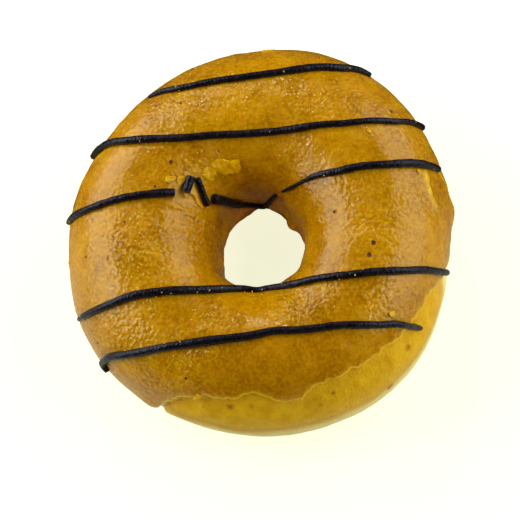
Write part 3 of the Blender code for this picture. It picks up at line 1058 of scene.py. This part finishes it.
def icing_mesh():
    (theta, phi, height), (theta_in, phi_in, height_in) = icing_grid()
    outside = lifted_point(theta, phi, height)
    inside = lifted_point(theta_in, phi_in, height_in)[::-1]
    points = np.concatenate([outside, inside]).reshape(-1, 3)
    rows, columns = len(outside) + len(inside), ICING_STEPS_ROUND
    first = np.arange(rows * columns).reshape(rows, columns)
    beside = np.roll(first, -1, axis=1)
    above = np.roll(first, -1, axis=0)
    across = np.roll(above, -1, axis=1)
    faces = np.stack([first, beside, across, above], axis=-1).reshape(-1, 4)
    mesh = mesh_from("icing_skin", points, faces.tolist())
    # The lip and raised-edge mask: partly thin icing, partly a painted highlight where the edge catches light
    bright = np.max([fold_rise(theta, phi, edge) for edge in BRIGHT_EDGES], axis=0)
    lip = np.exp(-((edge_distance(theta, phi) / LIP_SHINE) ** 2))
    masks = {
        "lip": np.clip(lip + bright, 0, 1),
        "sugar": sugar_mask(theta, phi),
        "rough": PLAIN_ROUGHNESS + (1 - PLAIN_ROUGHNESS) * highest(theta, phi, ROUGH_STRETCHES),
        "tone_and_shade": highest(theta, phi, DARKER_TONE_AND_SHADE_STRETCHES),
    }
    for name, values in masks.items():
        whole = np.zeros((rows, columns))
        whole[: len(outside)] = values
        add_values(mesh, name, whole)
    return mesh


def pinhole_cutter():
    """Small balls sunk in the icing's outer face, as one mesh."""
    work = bmesh.new()
    for theta, phi, radius in PINHOLES:
        theta, phi = np.radians(float(theta)), np.radians(float(phi))
        lift = icing_lift(np.array([theta]), np.array([phi]))[0] + radius * PINHOLE_RISE
        middle = Vector(lifted_point(theta, phi, lift))
        bmesh.ops.create_icosphere(work, subdivisions=2, radius=radius, matrix=Matrix.Translation(middle))
    mesh = bpy.data.meshes.new("pinholes")
    work.to_mesh(mesh)
    work.free()
    # The pit walls take this darker material: partly painted shade in the pits
    mesh.materials.append(bubble_material())
    return add_object("pinholes", mesh)


def make_icing():
    icing = grow("icing_skin", icing_mesh(), icing_tree(icing_material()), {"Wave height": ICING_WAVES})
    face_outwards(icing.data)
    cutter = pinhole_cutter()
    cut = icing.modifiers.new("pinholes", "BOOLEAN")
    cut.operation = "DIFFERENCE"
    cut.object = cutter
    cut.solver = "MANIFOLD"
    cut.material_mode = "TRANSFER"
    make_plain(icing)
    bpy.data.objects.remove(cutter)
    settled(icing.data)
    return icing


def smooth_path(points, step):
    """Even places along a Catmull-Rom curve through the given ones, as theta, phi and thickness."""
    given = [np.array((math.radians(t), math.radians(p), width)) for t, p, width in points]
    given = [2 * given[0] - given[1], *given, 2 * given[-1] - given[-2]]
    path = []
    for a, b, c, d in zip(given, given[1:], given[2:], given[3:]):
        length = np.linalg.norm(ring_point(c[0], c[1]) - ring_point(b[0], b[1]))
        count = max(1, round(length / step))
        for k in range(count):
            t = k / count
            squared = (2 * a - 5 * b + 4 * c - d) * t**2
            cubed = (3 * b - 3 * c + d - a) * t**3
            path.append(0.5 * (2 * b + (c - a) * t + squared + cubed))
    path.append(given[-2])
    path = np.array(path)
    for _ in range(SMOOTHING_PASSES):
        path[1:-1] = path[1:-1] / 2 + (path[:-2] + path[2:]) / 4
    return path


def route_mesh(name, routes):
    """Lines of points with a thickness each, as one mesh of edges."""
    points, edges, thicknesses = [], [], []
    for places, widths in routes:
        edges += [(len(points) + k, len(points) + k + 1) for k in range(len(places) - 1)]
        points += list(places)
        thicknesses += list(widths)
    mesh = mesh_from(name, points, [], edges)
    add_values(mesh, "thickness", thicknesses)
    return settled(mesh)


def resting_height(theta, phi, thickness):
    """How high a strand's middle lies above the dough: on the icing, or on the dough past its edge."""
    padded = np.pad(icing_lift(theta, phi), RESTING_REACH // 2, mode="edge")
    even = np.convolve(padded, np.ones(RESTING_REACH) / RESTING_REACH, mode="valid")
    return np.maximum(even, 0) + DRIZZLE_RADIUS * thickness - DRIZZLE_SUNK


def sweep_strands(name, routes, chocolate, spacing, end_rounding, wobble):
    sizes = {"Radius": DRIZZLE_RADIUS, "Spacing": spacing, "End rounding": end_rounding}
    values = {**sizes, "Wobble": wobble, "Sides": DRIZZLE_SIDES}
    strands = grow(name, route_mesh(name, routes), strand_tree(chocolate), values)
    face_outwards(strands.data)
    return strands


def make_drizzle(chocolate):
    routes = []
    for strand in DRIZZLE_STRANDS:
        theta, phi, thickness = smooth_path(strand, DRIZZLE_STEP).T
        height = resting_height(theta, phi, thickness)
        routes.append((lifted_point(theta, phi, height), thickness))
    return sweep_strands("drizzle_lines", routes, chocolate, *LINE_SWEEP)


def make_bits(chocolate):
    routes = []
    for ends, rises, thickness in LOOSE_BITS:
        places = []
        for angles, rise in zip(ends, rises):
            theta, phi = np.radians(angles)
            height = ICING_HEIGHT + DRIZZLE_RADIUS * thickness - DRIZZLE_SUNK + rise
            places.append(lifted_point(theta, phi, height))
        shares = np.linspace(0, 1, LOOSE_BIT_STEPS)[:, None]
        routes.append((places[0] + (places[1] - places[0]) * shares, [thickness] * len(shares)))
    return sweep_strands("drizzle_bits", routes, chocolate, *BIT_SWEEP)


def flake_rim(outline, chance):
    """Even steps along a closed outline, each a little off it, in radians."""
    corners = np.radians(np.array(outline))
    closed = np.vstack([corners, corners[:1]])
    lengths = np.linalg.norm(np.diff(closed * (OUTER_RADIUS / 2, HALF_HEIGHT), axis=0), axis=1)
    along = np.concatenate([[0], np.cumsum(lengths)])
    steps = np.linspace(0, along[-1], FLAKE_RIM_STEPS, endpoint=False)
    rim = np.stack([np.interp(steps, along, closed[:, k]) for k in range(2)], axis=-1)
    middle = rim.mean(axis=0)
    return middle, middle + (rim - middle) * chance.normal(1, FLAKE_RAGGED, (FLAKE_RIM_STEPS, 1))


def flake_rows(flake, chance):
    """Angles and heights of one flake's upper face, ring by ring from its middle."""
    rise, outline = flake
    middle, rim = flake_rim(outline, chance)
    share = (np.arange(1, FLAKE_RINGS + 1) / FLAKE_RINGS)[:, None, None]
    theta, phi = np.moveaxis(middle + (rim - middle) * share, -1, 0)
    share = share[:, :, 0]
    along, over = theta * OUTER_RADIUS / 2, phi * HALF_HEIGHT
    lean = rise * (theta.max() - theta) / (theta.max() - theta.min())
    height, wide, high = FLAKE_STREAKS
    streaks = height * np.sin(along / wide + 2 * np.sin(over / high))
    height, wide, high = FLAKE_FACETS
    facets = height * np.sin(along / wide + 1) * np.sin(over / high)
    crumple = chance.normal(0, FLAKE_CRUMPLE, theta.shape) + streaks + facets
    top = icing_lift(theta, phi) + FLAKE_RISE + lean + crumple + FLAKE_THICKNESS * (1 - 0.5 * share**6)
    return theta, phi, top


def make_flakes():
    """Thin torn plates of icing that hug the skin under them, as one mesh."""
    chance = np.random.default_rng(FLAKE_SEED)
    points, faces = [], []
    n = FLAKE_RIM_STEPS
    for flake in FLAKES:
        theta, phi, top = flake_rows(flake, chance)
        upper = lifted_point(theta, phi, top)
        lower = lifted_point(theta, phi, top - FLAKE_THICKNESS * 1.6)
        rings = np.concatenate([upper, lower[::-1]])
        first = len(points)
        points += list(rings.reshape(-1, 3))
        for ring in range(len(rings) - 1):
            for k in range(n):
                a, b = first + ring * n + k, first + ring * n + (k + 1) % n
                faces.append((a, b, b + n, a + n))
        faces.append(tuple(first + k for k in reversed(range(n))))
        last = first + (len(rings) - 1) * n
        faces.append(tuple(last + k for k in range(n)))
    mesh = settled(mesh_from("icing_flakes", points, faces))
    face_outwards(mesh)
    mesh.shade_flat()
    mesh.materials.append(flake_material())
    return add_object("icing_flakes", mesh)


def scatter(name, under, masked, density, size, seed):
    """Grains that stick to another piece."""
    tree = speck_tree(name.replace("_", " "), grain_material(), masked)
    return grow(name, under.data.copy(), tree, {"Density": density, "Size": size, "Seed": seed})


# The stage


def add_softbox(name, direction, distance, width, height, power):
    """A soft light in a direction from the ring, turned towards it."""
    lamp = bpy.data.lights.new(name, "AREA")
    lamp.shape = "RECTANGLE"
    lamp.size, lamp.size_y = width, height
    lamp.energy = power
    made = add_object(name, lamp)
    away = Vector(direction).normalized()
    turn = away.to_track_quat("Z", "Y").to_matrix().to_4x4()
    made.matrix_world = Matrix.Translation(Vector(CAMERA_TARGET) + away * distance) @ turn
    made.visible_glossy = name not in MATT_LIGHTS


def add_camera():
    azimuth, elevation = math.radians(CAMERA_AZIMUTH), math.radians(CAMERA_ELEVATION)
    level = math.cos(elevation)
    back = Vector((math.sin(azimuth) * level, -math.cos(azimuth) * level, math.sin(elevation)))
    up = (Vector((0, 1, 0)) - back * back.y).normalized()
    right = up.cross(back)
    lens = bpy.data.cameras.new("camera")
    lens.lens = CAMERA_LENS
    lens.clip_start, lens.clip_end = 0.01, 10
    camera = add_object("camera", lens)
    place = Vector(CAMERA_TARGET) + back * CAMERA_DISTANCE - up * CAMERA_DOWN + right * CAMERA_ASIDE
    turn = Matrix((right, up, back)).transposed().to_4x4()
    camera.matrix_world = Matrix.Translation(place) @ turn
    bpy.context.scene.camera = camera


def make_stage():
    """A pale floor, soft light from both sides and from behind, and the camera."""
    half = FLOOR_SIZE / 2
    corners = [(-half, -half, 0), (half, -half, 0), (half, half, 0), (-half, half, 0)]
    mesh = mesh_from("floor", corners, [(0, 1, 2, 3)])
    mesh.materials.append(floor_material())
    floor = add_object("floor", mesh)

    world = bpy.data.worlds.new("soft sky")
    world.use_nodes = True
    sky = world.node_tree.nodes["Background"].inputs
    sky["Color"].default_value = (1, 1, 1, 1)
    sky["Strength"].default_value = SKY_STRENGTH
    bpy.context.scene.world = world
    for light in LIGHTS:
        add_softbox(*light)
    bpy.context.scene.view_settings.view_transform = "Standard"
    add_camera()


def main():
    make_stage()
    chocolate = chocolate_material()
    dough = make_dough()
    icing = make_icing()
    drizzle = make_drizzle(chocolate)
    bits = make_bits(chocolate)
    flakes = make_flakes()
    sugar = scatter("sugar_grains", icing, True, GRAIN_DENSITY, GRAIN_SIZE, GRAIN_SEED)
    crumbs = scatter("drizzle_crumbs", drizzle, False, CRUMB_DENSITY, CRUMB_SIZE, CRUMB_SEED)
    rides = (
        (dough, "dough", "dough"),
        (icing, "icing", "icing"),
        (drizzle, "icing", "drizzle"),
        (bits, "icing", "drizzle"),
        (flakes, None, "icing"),
        (sugar, None, "icing"),
        (crumbs, None, "icing"),
    )
    for piece, node, slot in rides:
        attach(piece, "root")
        if node:
            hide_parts(node)


main()
